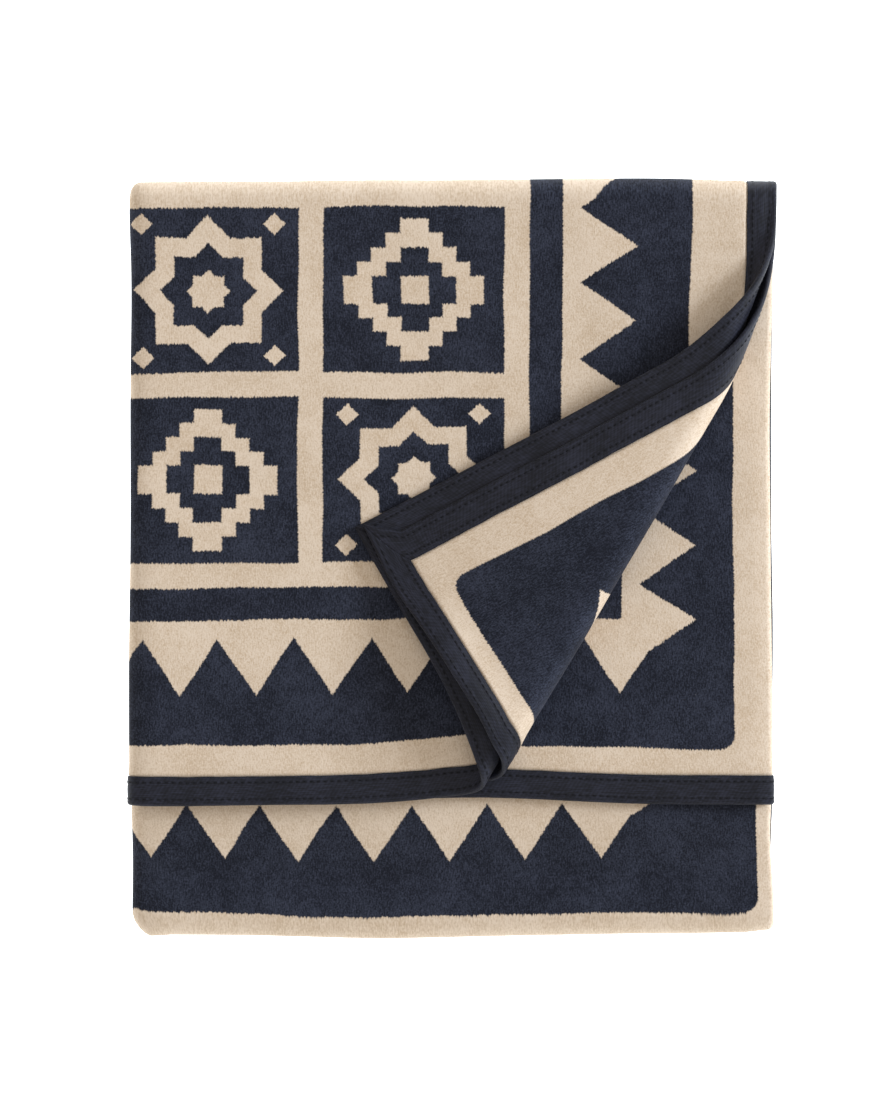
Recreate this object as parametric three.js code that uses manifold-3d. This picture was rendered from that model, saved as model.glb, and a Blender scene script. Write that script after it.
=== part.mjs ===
// A wool blanket with ribbon-bound edges, folded in four across and in four along, lying on a surface with
// one corner of its top two sheets rolled back. Millimetres, +Z up, +Y towards the back fold. The cloth is
// laid out flat as (u, v), u across and v along, and every point of it is then carried to its folded place.
import * as THREE from 'three';
import Module from 'manifold-3d';

const wasm = await Module();
wasm.setup();

// Cloth and stack
const clothWidth = 1550;
const clothLength = 1650;
const clothThick = 3;
const layerPitch = 3.6; // one sheet to the next
const padLength = 461; // folded, front fold to back fold
const topPanelLength = 379; // back fold to the bound end that lies on top
const foldInset = 2; // right fold of the lower sheets, inside the free edges of the upper two

// Ribbon binding, folded over every raw edge
const bindingWidth = 17;
const ribbonThick = 0.9;
const hemThick = 0.6; // cloth pressed inside the ribbon
const hemRamp = 0.6; // the cloth regains its thickness over this width
const fitGap = 0.3;

// Turned corner: both sheets roll back along parallel lines at this angle to the side edge
const turnAngle = THREE.MathUtils.degToRad(30.5);
const turnShear = 0.084; // sideways pull of the turned corner for each mm past the roll
const turnSettle = 140; // length over which the turned corner comes down to lie on the stack
const turnRadius = 9.5;
const turnedSheets = [
  { sheet: 'top', alongSide: 329, radius: turnRadius, liesAbove: layerPitch },
  { sheet: 'second', alongSide: 324, radius: turnRadius + layerPitch, liesAbove: 3 * layerPitch },
];

// The turn draws in the bound end of each sheet, most at this distance from the side and less along it
const drawnEnds = [
  { sheet: 'top', depth: 13, fromSide: 120, reach: 85 },
  { sheet: 'second', depth: 15.5, fromSide: 150, reach: 100 },
  { sheet: 'third', depth: 4.6, fromSide: 190, reach: 85 },
  { sheet: 'lowest', depth: 4.6, fromSide: 190, reach: 85 },
];
const drawnFade = 250; // nothing is drawn in past this length

// Unevenness of the lying stack
const dropReach = 62; // length over which the front strip comes down off the lowest panel
const dropShare = 0.97; // of one panel's thickness
const stackLean = 0.005; // sideways for each mm towards the back
const backBow = 2; // the middle of the back fold stands out by this
const loft = 0.009; // share of the height by which the top swells and sinks each way
const loftWaves = { x: 210, y: 260 }; // half wavelengths
const panelSlips = [
  { panel: 'first', level: 3.5, slip: 0 },
  { panel: 'second', level: 2.5, slip: -0.4 },
  { panel: 'third', level: 1.5, slip: 1.4 },
  { panel: 'fourth', level: 0.5, slip: -0.6 },
];
const frontCorners = [
  { side: -1, depth: 3, reach: 16 },
  { side: 1, depth: 1.5, reach: 100 },
];

// Facets
const bendFacets = 5;
const tightBendFacets = 3;
const rollFacets = 6;
const settleFacets = 4;
const panelFacets = 3;
const dropFacets = 3;
const lineGap = 5; // no facet line lies nearer than this to the end of a run
const snap = 1e-4; // points this near are one

const clothHalf = clothThick / 2;
const hemHalf = hemThick / 2;
const cavityHalf = hemHalf + fitGap;
const bindingHalf = cavityHalf + ribbonThick;
const bindingOver = fitGap + ribbonThick;
const hemEnd = bindingWidth + fitGap;
const panelPitch = 4 * layerPitch;
const panelBend = panelPitch / 2;
const outerBend = 1.5 * layerPitch;
const innerBend = 0.5 * layerPitch;
const foldReach = panelBend + outerBend + clothHalf; // fold centre to outer surface

// Folded width: the four sheets and their three folds use up the cloth's width.
const acrossFolds = Math.PI * (outerBend + 2 * innerBend);
const padWidth = (clothWidth - acrossFolds + 2 * foldInset + 4 * outerBend + 2 * innerBend) / 4;
const freeRun = padWidth - outerBend;
const innerRun = padWidth - foldInset - outerBend - innerBend;
const acrossSteps = [
  { name: 'top', run: freeRun },
  { name: 'outer left fold', bend: outerBend, side: 1 },
  { name: 'lowest', run: innerRun },
  { name: 'right fold', bend: innerBend, side: 1 },
  { name: 'third', run: innerRun },
  { name: 'inner left fold', bend: innerBend, side: -1 },
  { name: 'second', run: freeRun },
];

const longRun = padLength - 2 * foldReach;
const topRun = topPanelLength - foldReach - bindingOver;
const lowRun = clothLength - topRun - 2 * longRun - 3 * Math.PI * panelBend;
const alongSteps = [
  { name: 'first', run: topRun },
  { name: 'upper back fold', bend: panelBend, side: -1 },
  { name: 'second', run: longRun },
  { name: 'front fold', bend: panelBend, side: 1 },
  { name: 'third', run: longRun },
  { name: 'lower back fold', bend: panelBend, side: -1 },
  { name: 'fourth', run: lowRun },
];

const backCentre = padLength / 2 - foldReach;
const dropStart = backCentre - lowRun; // the lowest panel ends here
const rightEdge = padWidth / 2;
const topPanelHeight = 3 * panelPitch + 1.5 * layerPitch + clothHalf;
const acrossPath = makePath({ x: rightEdge, y: outerBend, angle: Math.PI }, acrossSteps, -1);
const alongPath = makePath({ x: backCentre - topRun, y: topPanelHeight, angle: 0 }, alongSteps, 1);

// Facet lines at the same places in every sheet and panel, so that layers bend alike.
const acrossLines = [frontCorners[0].reach - rightEdge];
for (let i = 1; i < panelFacets; i++) acrossLines.push(rightEdge * (2 * i / panelFacets - 1));
const alongLines = [];
for (let i = 1; i < panelFacets; i++) alongLines.push(backCentre - lowRun * i / panelFacets);
for (let i = 0; i < dropFacets; i++) alongLines.push(dropStart - dropReach * i / dropFacets);

function smooth(t) {
  return THREE.MathUtils.smoothstep(t, 0, 1);
}

// A path of straight runs and half turns. side is 1 for a turn to the left, and faceSide is 1 where the
// cloth's face is on the left of the walk.
function makePath(start, steps, faceSide) {
  let { x, y, angle } = start;
  let from = 0;
  return steps.map((step) => {
    const length = step.run ?? Math.PI * step.bend;
    const leg = { ...step, x, y, angle, from, to: from + length, faceSide };
    ({ x, y, angle } = alongLeg(leg, length));
    from = leg.to;
    return leg;
  });
}

function alongLeg(leg, s) {
  const { x, y, angle } = leg;
  if (leg.run) return { x: x + s * Math.cos(angle), y: y + s * Math.sin(angle), angle };
  const turned = angle + leg.side * s / leg.bend;
  const radius = leg.side * leg.bend;
  return {
    x: x + radius * (Math.sin(turned) - Math.sin(angle)),
    y: y - radius * (Math.cos(turned) - Math.cos(angle)),
    angle: turned,
  };
}

// The place and face direction at a length along a path; its first and last runs go on past their ends.
function walk(path, length) {
  const leg = path.findLast(({ from }) => length >= from) ?? path[0];
  const { x, y, angle } = alongLeg(leg, length - leg.from);
  return { name: leg.name, x, y, nx: -leg.faceSide * Math.sin(angle), ny: leg.faceSide * Math.cos(angle) };
}

function legNamed(path, name) {
  return path.find((leg) => leg.name === name);
}

// How far the turn draws a point along, this far in from the side edge of the stack.
function drawIn(sheet, fromSide, v) {
  const row = drawnEnds.find((end) => end.sheet === sheet);
  if (!row || v > drawnFade) return 0;
  const share = Math.exp(-(((fromSide - row.fromSide) / row.reach) ** 2));
  return row.depth * share * (1 - v / drawnFade);
}

// How far a point of a turned sheet lies past the line where its roll starts.
function pastRoll(row, u, v) {
  const fromSide = row.sheet === 'top' ? u : clothWidth - u;
  return (row.alongSide - v) * Math.sin(turnAngle) - fromSide * Math.cos(turnAngle);
}

// Carries a flat point of a turned sheet, above its middle by that much, round the roll and on to the stack.
function rollBack(point, row, past, above) {
  const { radius } = row;
  const turn = Math.min(past / radius, Math.PI);
  const beyond = Math.max(past - Math.PI * radius, 0);
  const outwards = (radius - above) * Math.sin(turn) - beyond - past;
  const pull = turnShear * beyond;
  const fall = (2 * radius - row.liesAbove) * smooth((beyond - rollLead(row)) / turnSettle);
  point.x += outwards * Math.cos(turnAngle) + pull * Math.sin(turnAngle);
  point.y += pull * Math.cos(turnAngle) - outwards * Math.sin(turnAngle);
  point.z += radius - above - (radius - above) * Math.cos(turn) - fall;
}

// How far a sheet's roll starts outside the top sheet's.
function rollLead(row) {
  return (turnedSheets[0].alongSide - row.alongSide) * Math.sin(turnAngle);
}

// The slack of a stack that was folded by hand.
function settle(point) {
  const { x, y, z } = point;
  const front = smooth((dropStart - y) / dropReach);
  const swell = loft * (Math.cos(Math.PI * x / loftWaves.x) + Math.cos(Math.PI * y / loftWaves.y));
  point.z = z * (1 + swell * (1 - front)) - dropShare * panelPitch * front;
  point.x += slipAt(z / panelPitch) + stackLean * y;
  point.y += backBow * smooth(y / padLength) * (1 - (x / rightEdge) ** 2);
  for (const { side, depth, reach } of frontCorners) {
    point.y += front * depth * smooth((reach - (rightEdge - side * x)) / reach) ** 2;
  }
  return point;
}

function slipAt(level) {
  const above = panelSlips.findLast((row) => row.level >= level) ?? panelSlips[0];
  const below = panelSlips.find((row) => row.level <= level) ?? panelSlips.at(-1);
  if (above === below) return above.slip;
  return THREE.MathUtils.mapLinear(level, below.level, above.level, below.slip, above.slip);
}

// The folded place of flat point (u, v), raised by n from the middle of the cloth towards its face.
function fold(u, v, n) {
  const across = walk(acrossPath, u);
  const drawn = v + drawIn(across.name, rightEdge - across.x, v);
  const along = walk(alongPath, drawn);
  const x = across.x + across.nx * n;
  const height = across.y + across.ny * n;
  const point = new THREE.Vector3(x, along.x + along.nx * height, along.y + along.ny * height);
  const row = along.name === 'first' && turnedSheets.find(({ sheet }) => sheet === across.name);
  const past = row ? pastRoll(row, u, drawn) : 0;
  if (past > 0) rollBack(point, row, past, across.ny * n);
  return settle(point);
}

// Facet lines along a path: even over each fold, and at the shared places over each run. ends are the lines
// at either end of the path, as distances in from it.
function facetLines(path, shared, ends) {
  const total = path.at(-1).to;
  const innermost = ends.at(-1);
  const lines = new Set(ends.flatMap((end) => [end, total - end]));
  for (const leg of path) {
    const from = leg.from === 0 ? innermost : leg.from;
    const to = leg.to === total ? total - innermost : leg.to;
    const bendLines = leg.bend > innerBend ? bendFacets : tightBendFacets;
    const facets = leg.run ? 1 : bendLines;
    for (let i = 0; i <= facets; i++) lines.add(THREE.MathUtils.lerp(from, to, i / facets));
    if (leg.run) {
      shared
        .map((place) => leg.from + (place - leg.x) * Math.cos(leg.angle))
        .filter((line) => line > from + lineGap && line < to - lineGap)
        .forEach((line) => lines.add(line));
    }
  }
  return [...lines].sort((a, b) => a - b);
}

function gridCells(uLines, vLines) {
  const cells = [];
  for (let i = 0; i + 1 < uLines.length; i++) {
    for (let j = 0; j + 1 < vLines.length; j++) {
      const [u0, u1, v0, v1] = [uLines[i], uLines[i + 1], vLines[j], vLines[j + 1]];
      cells.push([[u0, v0], [u1, v0], [u1, v1], [u0, v1]]);
    }
  }
  return cells;
}

// The part of a convex cell where side(u, v), a linear function, is positive.
function cellPart(cell, side) {
  const sides = cell.map((p) => side(...p)).map((s) => (Math.abs(s) < snap ? 0 : s));
  if (Math.max(...sides) === 0) return [];
  const part = [];
  cell.forEach((p, i) => {
    const next = (i + 1) % cell.length;
    const [here, there] = [sides[i], sides[next]];
    if (here >= 0) part.push(p);
    const share = here / (here - there);
    if (here * there < 0) part.push(p.map((x, k) => THREE.MathUtils.lerp(x, cell[next][k], share)));
  });
  return part.length > 2 ? [part] : [];
}

// Splits cells of the two turned sheets along lines parallel to their rolls.
function splitAtRolls(cells) {
  const panel = legNamed(alongPath, 'first');
  for (const row of turnedSheets) {
    const leg = legNamed(acrossPath, row.sheet);
    const isFirst = leg.from === 0;
    const onSheet = (u) => (isFirst ? u < leg.to + snap : u > leg.from - snap);
    const onCorner = ([u, v]) => onSheet(u) && v < panel.to + snap;
    for (const line of rollLines(row)) {
      const outside = (u, v) => pastRoll(row, u, v) - line;
      const inside = (u, v) => line - pastRoll(row, u, v);
      const split = (cell) => [...cellPart(cell, outside), ...cellPart(cell, inside)];
      cells = cells.flatMap((cell) => (cell.every(onCorner) ? split(cell) : [cell]));
    }
  }
  return cells;
}

// Facet lines of a turned sheet, as distances past the start of its roll.
function rollLines(row) {
  const rollLength = Math.PI * row.radius;
  const lines = [];
  for (let i = 0; i <= rollFacets; i++) lines.push(rollLength * i / rollFacets);
  for (let i = 1; i <= settleFacets; i++) {
    lines.push(rollLength + rollLead(row) + turnSettle * i / settleFacets);
  }
  return lines;
}

// A closed solid between the two faces of flat cells, each point half(u, v) from the middle of the cloth.
function sheetGeometry(cells, half) {
  const positions = [];
  const triangles = [];
  const known = new Map();
  const rim = new Map();
  const key = (...numbers) => numbers.map((x) => Math.round(x / snap)).join();
  const corner = ([u, v], face) => {
    const name = key(u, v, face);
    if (!known.has(name)) {
      known.set(name, known.size);
      positions.push(...fold(u, v, face * half(u, v)).toArray());
    }
    return known.get(name);
  };
  const triangle = (...corners) => triangles.push(...corners.map(([p, face]) => corner(p, face)));
  for (const cell of cells) {
    for (let i = 1; i + 1 < cell.length; i++) {
      triangle([cell[0], 1], [cell[i + 1], 1], [cell[i], 1]);
      triangle([cell[0], -1], [cell[i], -1], [cell[i + 1], -1]);
    }
    cell.forEach((p, i) => {
      const q = cell[(i + 1) % cell.length];
      if (!rim.delete(key(...q, ...p))) rim.set(key(...p, ...q), [p, q]);
    });
  }
  for (const [p, q] of rim.values()) {
    triangle([p, 1], [q, 1], [q, -1]);
    triangle([p, 1], [q, -1], [p, -1]);
  }
  const geometry = new THREE.BufferGeometry();
  geometry.setAttribute('position', new THREE.Float32BufferAttribute(positions, 3));
  geometry.setIndex(triangles);
  return geometry;
}

function toSolid(geometry) {
  const mesh = new wasm.Mesh({
    numProp: 3,
    vertProperties: new Float32Array(geometry.attributes.position.array),
    triVerts: new Uint32Array(geometry.index.array),
  });
  return new wasm.Manifold(mesh);
}

function toGeometry(solid) {
  const mesh = solid.getMesh();
  const geometry = new THREE.BufferGeometry();
  geometry.setAttribute('position', new THREE.BufferAttribute(mesh.vertProperties, 3));
  geometry.setIndex(new THREE.BufferAttribute(mesh.triVerts, 1));
  return geometry;
}

// The woven cloth, thinned to its pressed hem where the ribbon holds it.
function clothGeometry() {
  const ends = [0, hemEnd, hemEnd + hemRamp];
  const uLines = facetLines(acrossPath, acrossLines, ends);
  const vLines = facetLines(alongPath, alongLines, ends);
  const half = (u, v) => {
    const inFromEdge = Math.min(u, clothWidth - u, v, clothLength - v);
    return inFromEdge < hemEnd + hemRamp / 2 ? hemHalf : clothHalf;
  };
  return sheetGeometry(splitAtRolls(gridCells(uLines, vLines)), half);
}

// One mitred ribbon folded over an edge of the cloth, which runs across at the start or end of v, or along
// at the start or end of u. Its cavity is the hem with the fitting gap round it.
function bindingGeometry({ runsAcross, atStart }) {
  const mitreGap = fitGap / Math.SQRT2;
  const ribbon = toSolid(sheetGeometry(bandCells(-bindingOver, bindingWidth, mitreGap), () => bindingHalf));
  const cavity = toSolid(sheetGeometry(bandCells(-fitGap, hemEnd, -fitGap), () => cavityHalf));
  return toGeometry(ribbon.subtract(cavity));

  // Flat cells of a mitred band between two distances in from the edge.
  function bandCells(outer, inner, mitre) {
    const ends = [outer - fitGap, hemEnd + hemRamp];
    const edgeLines = runsAcross
      ? facetLines(acrossPath, acrossLines, ends)
      : facetLines(alongPath, alongLines, ends);
    const edgeLength = runsAcross ? clothWidth : clothLength;
    const depth = runsAcross ? clothLength : clothWidth;
    const bandLines = atStart ? [outer, inner] : [depth - inner, depth - outer];
    const alongEdge = (u, v) => (runsAcross ? u : v);
    const inFrom = (u, v) => (atStart ? alongEdge(v, u) : depth - alongEdge(v, u));
    const afterStart = (u, v) => alongEdge(u, v) - inFrom(u, v) - mitre;
    const beforeEnd = (u, v) => edgeLength - alongEdge(u, v) - inFrom(u, v) - mitre;
    const cells = runsAcross ? gridCells(edgeLines, bandLines) : gridCells(bandLines, edgeLines);
    return splitAtRolls(cells
      .flatMap((cell) => cellPart(cell, afterStart))
      .flatMap((cell) => cellPart(cell, beforeEnd)));
  }
}

const wool = new THREE.MeshStandardMaterial({ color: 0xe0cdb4, roughness: 0.95, metalness: 0 });
const ribbon = new THREE.MeshStandardMaterial({ color: 0x2a2c38, roughness: 0.6, metalness: 0 });
const bindings = [
  { name: 'binding_top_side', runsAcross: false, atStart: true },
  { name: 'binding_second_side', runsAcross: false, atStart: false },
  { name: 'binding_front_end', runsAcross: true, atStart: true },
  { name: 'binding_under_end', runsAcross: true, atStart: false },
];

const blanket = new THREE.Group();
function addPiece(name, geometry, material) {
  const mesh = new THREE.Mesh(geometry, material);
  mesh.name = name;
  blanket.add(mesh);
}

addPiece('blanket_cloth', clothGeometry(), wool);
for (const row of bindings) addPiece(row.name, bindingGeometry(row), ribbon);

// Stand the stack on the middle of its underside.
const box = new THREE.Box3().setFromObject(blanket);
const middle = box.getCenter(new THREE.Vector3());
blanket.position.set(-middle.x, -middle.y, -box.min.z);

const model = new THREE.Group();
model.add(blanket);

export default model;
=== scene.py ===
import math

import bmesh
import bpy
from mathutils import Matrix, Vector, noise


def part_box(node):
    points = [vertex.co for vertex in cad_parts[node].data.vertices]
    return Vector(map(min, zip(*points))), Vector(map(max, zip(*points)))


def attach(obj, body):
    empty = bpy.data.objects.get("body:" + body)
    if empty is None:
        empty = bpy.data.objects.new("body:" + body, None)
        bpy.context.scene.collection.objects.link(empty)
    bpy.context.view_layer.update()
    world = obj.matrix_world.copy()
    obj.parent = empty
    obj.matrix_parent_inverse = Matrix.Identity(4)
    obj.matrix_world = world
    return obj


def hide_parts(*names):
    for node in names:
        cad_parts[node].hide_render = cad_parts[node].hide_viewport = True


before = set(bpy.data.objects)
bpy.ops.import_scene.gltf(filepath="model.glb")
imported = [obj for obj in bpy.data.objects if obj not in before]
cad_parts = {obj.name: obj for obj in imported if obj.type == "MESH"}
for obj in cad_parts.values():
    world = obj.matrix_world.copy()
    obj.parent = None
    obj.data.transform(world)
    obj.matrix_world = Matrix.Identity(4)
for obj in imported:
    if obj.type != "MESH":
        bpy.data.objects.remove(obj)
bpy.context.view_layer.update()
print("frame loaded:", ", ".join(sorted(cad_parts)))

# A wool blanket folded in four across and in four along, one corner of its top two sheets turned back.
# Metres throughout. On the flat cloth u runs across, v along, and n is the height above its middle.
blanket = {
    "width": 1.55,
    "length": 1.65,
    "thick": 0.003,
    "hemWidth": 0.0173,  # cloth pressed inside the binding
    "hemRounding": ((0, 0.0003), (0.0006, 0.0012), (0.0022, 0.0015)),  # past the hem, half thickness
    "acrossStep": {"top": 0.006, "lowest": 0.014, "third": 0.009, "second": 0.006},
    "alongStep": {"first": 0.006, "second": 0.02, "third": 0.02, "fourth": 0.02},
    "stripStep": 0.006,  # where the front strip shows,
    "stripAhead": 0.02,  # from this far behind its drop
    "bendCuts": 10,
}

stack = {
    "pitch": 0.0036,  # one sheet to the next
    "length": 0.461,  # front fold to back fold
    "topPanel": 0.379,  # back fold to the bound end on top
    "bindingOver": 0.0012,  # the ribbon stands out past the cloth's edge
    "inset": 0.002,  # lower sheets' right fold, inside the free edges of the upper two
    "dropReach": 0.062,  # the front strip comes down off the lowest panel over this
    "dropShare": 0.97,  # of a panel's height
    "lean": 0.005,  # sideways to each metre along
    "backBow": 0.002,  # the back edge's middle stands out
    "loft": 0.009,  # swell, as a share of the height, and its half waves across and along
    "loftWave": (0.21, 0.26),
    "slips": ((3.5, 0), (2.5, 0.0002), (1.5, 0.0014), (0.5, -0.0006)),  # level in the stack, sideways
    "frontCorners": ((-1, 0.003, 0.016), (1, 0.0015, 0.1)),  # side, depth, reach
}

turnedCorner = {
    "angle": math.radians(30.5),  # roll line to side edge
    "shear": 0.084,  # what is turned over slides along the roll
    "settle": 0.140,  # the corner comes down on to the stack over this
    "sheets": {
        "top": {"alongSide": 0.329, "radius": 0.0095, "liesAbove": 0.0036},
        "second": {"alongSide": 0.324, "radius": 0.0131, "liesAbove": 0.0108},
    },
    # the end edges are drawn in by the turn: how far, and at what distance and reach from the side
    "drawnIn": {
        "top": (0.013, 0.12, 0.085),
        "second": (0.0155, 0.15, 0.10),
        "third": (0.0046, 0.19, 0.085),
        "lowest": (0.0046, 0.19, 0.085),
    },
    "drawnFade": 0.25,
    # the second sheet's edge curls up from the top sheet's, between two distances from the side
    "curl": {"lift": 0.007, "inwards": 0.0034, "reach": 0.030, "between": (0.02, 0.165), "ends": 0.06},
    # the roll is looser towards the side
    "loose": 0.003,  # added radius
    "looseLead": 6.0,  # and how many times that the roll starts earlier
    "looseStart": -0.020,
    "looseReach": 0.115,
    "bendCuts": 21,
    "settleCuts": 6,
}

# Soft swells and slips of the stack, and the corner of the ribbon pulled out to a point.
slack = {
    "lump": 0.010,  # share of the height
    "lumpSize": 0.075,
    "lumpSeed": 3.7,
    "sway": 0.0008,  # small slips of the layers
    "swaySize": 0.085,
    "swayLayer": 0.013,
    "swaySeed": 2,
    "earOut": 0.0125,  # the ribbon's corner, out past the side and in from the end
    "earAlong": 0.0015,
    "earReach": 0.020,
    "tuck": 0.0040,  # the top sheet's turned tip draws in under the second's
    "tuckAcross": 0.16,
    "tuckAlong": 0.25,
    "frontBulge": (-0.045, 0.075, 0.0022),  # middle, half width, how far
    "backBulge": (0.115, 0.075, 0.0018),
    "leftBulge": (0.215, 0.035, 0.0016),
    "spread": 0.0016,  # right side stands out, but for a waist: middle, half width, how far
    "waist": (0.090, 0.120, 0.0024),
    "creep": (0.0036, 0.020, 0.055),  # right fold over the bound edges: how far, after the drop, reach
    "pinch": (0.0050, 0.030, 0.018),  # front fold's left end: how far in, reach across and along
    "corners": ((-1, -0.0035, 0.012), (1, 0.0028, 0.009)),  # front fold's ends: side, how far in, reach
    "flare": 0.0011,  # the stiff ribbon pushes the folds out
    "flareStart": 0.023,
    "flareReach": 0.008,
    "flareAcross": 0.030,
    "slump": 0.030,  # share of the height by which the stack's edges are lower
    "slumpReach": 0.014,
}

noise.seed_set(slack["swaySeed"])

# Soft troughs (depth below 0) and ridges across the top: ends, depth as a share of the height, half width.
creases = (
    {"start": (-0.190, 0.060), "end": (-0.075, 0.036), "depth": -0.016, "wide": 0.010},
    {"start": (-0.190, -0.055), "end": (-0.090, -0.066), "depth": 0.012, "wide": 0.014},
    {"start": (-0.060, 0.225), "end": (-0.020, 0.120), "depth": -0.012, "wide": 0.014},
    {"start": (0.075, 0.225), "end": (0.110, 0.100), "depth": 0.014, "wide": 0.016},
    {"start": (-0.020, -0.150), "end": (-0.110, -0.095), "depth": -0.014, "wide": 0.012},
    {"start": (0.150, -0.060), "end": (0.190, -0.100), "depth": -0.016, "wide": 0.012},
    {"start": (-0.080, -0.222), "end": (-0.060, -0.165), "depth": -0.040, "wide": 0.013},
    {"start": (0.090, -0.225), "end": (0.105, -0.160), "depth": 0.034, "wide": 0.015},
)
creaseEnds = {"past": 0.4, "fade": 0.6}  # shares of a crease's length: it runs on past its ends, and fades

tolerance = {"line": 1e-4, "hem": 1e-5, "cut": 1e-6}


def smooth(t):
    t = min(max(t, 0), 1)
    return t * t * (3 - 2 * t)


def lerp(a, b, t):
    return a + (b - a) * t


def hump(place, middle, wide, tall):
    return tall * math.exp(-((place - middle) / wide) ** 2)


def legLength(leg):
    return leg["run"] if "run" in leg else math.pi * leg["bend"]


def alongLeg(leg, s):
    x, y, angle = leg["x"], leg["y"], leg["angle"]
    if "run" in leg:
        return x + s * math.cos(angle), y + s * math.sin(angle), angle
    radius = leg["side"] * leg["bend"]
    end = angle + s / radius
    across = radius * (math.sin(end) - math.sin(angle))
    up = radius * (math.cos(angle) - math.cos(end))
    return x + across, y + up, end


# Straight runs and half turns, end to end. faceSide is 1 where the cloth's face is on the left of the walk.
def makePath(x, y, angle, steps, faceSide):
    legs = []
    start = 0
    for step in steps:
        leg = dict(step, x=x, y=y, angle=angle, start=start, faceSide=faceSide)
        length = legLength(leg)
        x, y, angle = alongLeg(leg, length)
        start += length
        leg["end"] = start
        legs.append(leg)
    return legs


def walk(path, length):
    leg = path[0]
    for later in path:
        if length >= later["start"]:
            leg = later
    x, y, angle = alongLeg(leg, length - leg["start"])
    face = leg["faceSide"]
    return leg["name"], x, y, -face * math.sin(angle), face * math.cos(angle)


def legNamed(path, name):
    return next(leg for leg in path if leg["name"] == name)


pitch = stack["pitch"]
clothHalf = blanket["thick"] / 2
panelPitch = 4 * pitch
panelBend = 2 * pitch
outerBend = 1.5 * pitch
innerBend = 0.5 * pitch
foldReach = panelBend + outerBend + clothHalf
acrossFolds = math.pi * (outerBend + 2 * innerBend)
padWidth = (blanket["width"] - acrossFolds + 2 * stack["inset"] + 4 * outerBend + 2 * innerBend) / 4
freeRun = padWidth - outerBend
innerRun = padWidth - stack["inset"] - outerBend - innerBend
longRun = stack["length"] - 2 * foldReach
topRun = stack["topPanel"] - foldReach - stack["bindingOver"]
lowRun = blanket["length"] - topRun - 2 * longRun - 3 * math.pi * panelBend
backCentre = stack["length"] / 2 - foldReach
dropStart = backCentre - lowRun
rightEdge = padWidth / 2
topPanelHeight = 3 * panelPitch + 1.5 * pitch + clothHalf

acrossPath = makePath(rightEdge, outerBend, math.pi, (
    {"name": "top", "run": freeRun},
    {"name": "outer left fold", "bend": outerBend, "side": 1},
    {"name": "lowest", "run": innerRun},
    {"name": "right fold", "bend": innerBend, "side": 1},
    {"name": "third", "run": innerRun},
    {"name": "inner left fold", "bend": innerBend, "side": -1},
    {"name": "second", "run": freeRun},
), -1)
alongPath = makePath(backCentre - topRun, topPanelHeight, 0, (
    {"name": "first", "run": topRun},
    {"name": "upper back fold", "bend": panelBend, "side": -1},
    {"name": "second", "run": longRun},
    {"name": "front fold", "bend": panelBend, "side": 1},
    {"name": "third", "run": longRun},
    {"name": "lower back fold", "bend": panelBend, "side": -1},
    {"name": "fourth", "run": lowRun},
), 1)


# The roll's looseness at a flat point, most at the side edge and none towards the foot.
def looseAt(fromSide, v):
    angle = turnedCorner["angle"]
    fromStart = turnedCorner["sheets"]["top"]["alongSide"] - v
    alongRoll = fromStart * math.cos(angle) + fromSide * math.sin(angle)
    share = (alongRoll - turnedCorner["looseStart"]) / turnedCorner["looseReach"]
    return turnedCorner["loose"] * smooth(1 - share)


# How far a point of a turned sheet lies past the line where its roll starts.
def pastRoll(name, fromSide, v):
    angle = turnedCorner["angle"]
    start = turnedCorner["sheets"][name]["alongSide"]
    lead = turnedCorner["looseLead"] * looseAt(fromSide, v)
    return (start - v) * math.sin(angle) - fromSide * math.cos(angle) + lead


def drawIn(name, fromSide, v):
    depth, middle, reach = turnedCorner["drawnIn"].get(name, (0, 0, 1))
    fade = max(1 - v / turnedCorner["drawnFade"], 0)
    return hump(fromSide, middle, reach, depth) * fade


def curlShare(fromSide, v):
    curl = turnedCorner["curl"]
    near, far = curl["between"]
    ends = smooth((fromSide - near) / curl["ends"]) * smooth((far - fromSide) / curl["ends"])
    return ends * smooth(1 - v / curl["reach"])


def rollLead(name):
    sheets = turnedCorner["sheets"]
    return (sheets["top"]["alongSide"] - sheets[name]["alongSide"]) * math.sin(turnedCorner["angle"])


def rollBack(point, name, past, above, loose):
    row = turnedCorner["sheets"][name]
    angle = turnedCorner["angle"]
    radius = row["radius"] + loose
    turn = min(past / radius, math.pi)
    beyond = max(past - math.pi * radius, 0)
    outwards = (radius - above) * math.sin(turn) - beyond - past
    pull = turnedCorner["shear"] * beyond
    fall = (2 * radius - row["liesAbove"]) * smooth((beyond - rollLead(name)) / turnedCorner["settle"])
    point.x += outwards * math.cos(angle) + pull * math.sin(angle)
    point.y += pull * math.cos(angle) - outwards * math.sin(angle)
    point.z += radius - above - (radius - above) * math.cos(turn) - fall


def slipAt(level):
    rows = stack["slips"]
    if level >= rows[0][0]:
        return rows[0][1]
    for (high, highSlip), (low, lowSlip) in zip(rows, rows[1:]):
        if level >= low:
            return lerp(lowSlip, highSlip, (level - low) / (high - low))
    return rows[-1][1]


def settle(point):
    x, y, z = point
    front = smooth((dropStart - y) / stack["dropReach"])
    waveX, waveY = stack["loftWave"]
    swell = stack["loft"] * (math.cos(math.pi * x / waveX) + math.cos(math.pi * y / waveY))
    point.z = z * (1 + swell * (1 - front)) - stack["dropShare"] * panelPitch * front
    point.x += slipAt(z / panelPitch) + stack["lean"] * y
    point.y += stack["backBow"] * smooth(y / stack["length"]) * (1 - (x / rightEdge) ** 2)
    for side, depth, reach in stack["frontCorners"]:
        point.y += front * depth * smooth((reach - (rightEdge - side * x)) / reach) ** 2
    return point


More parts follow.
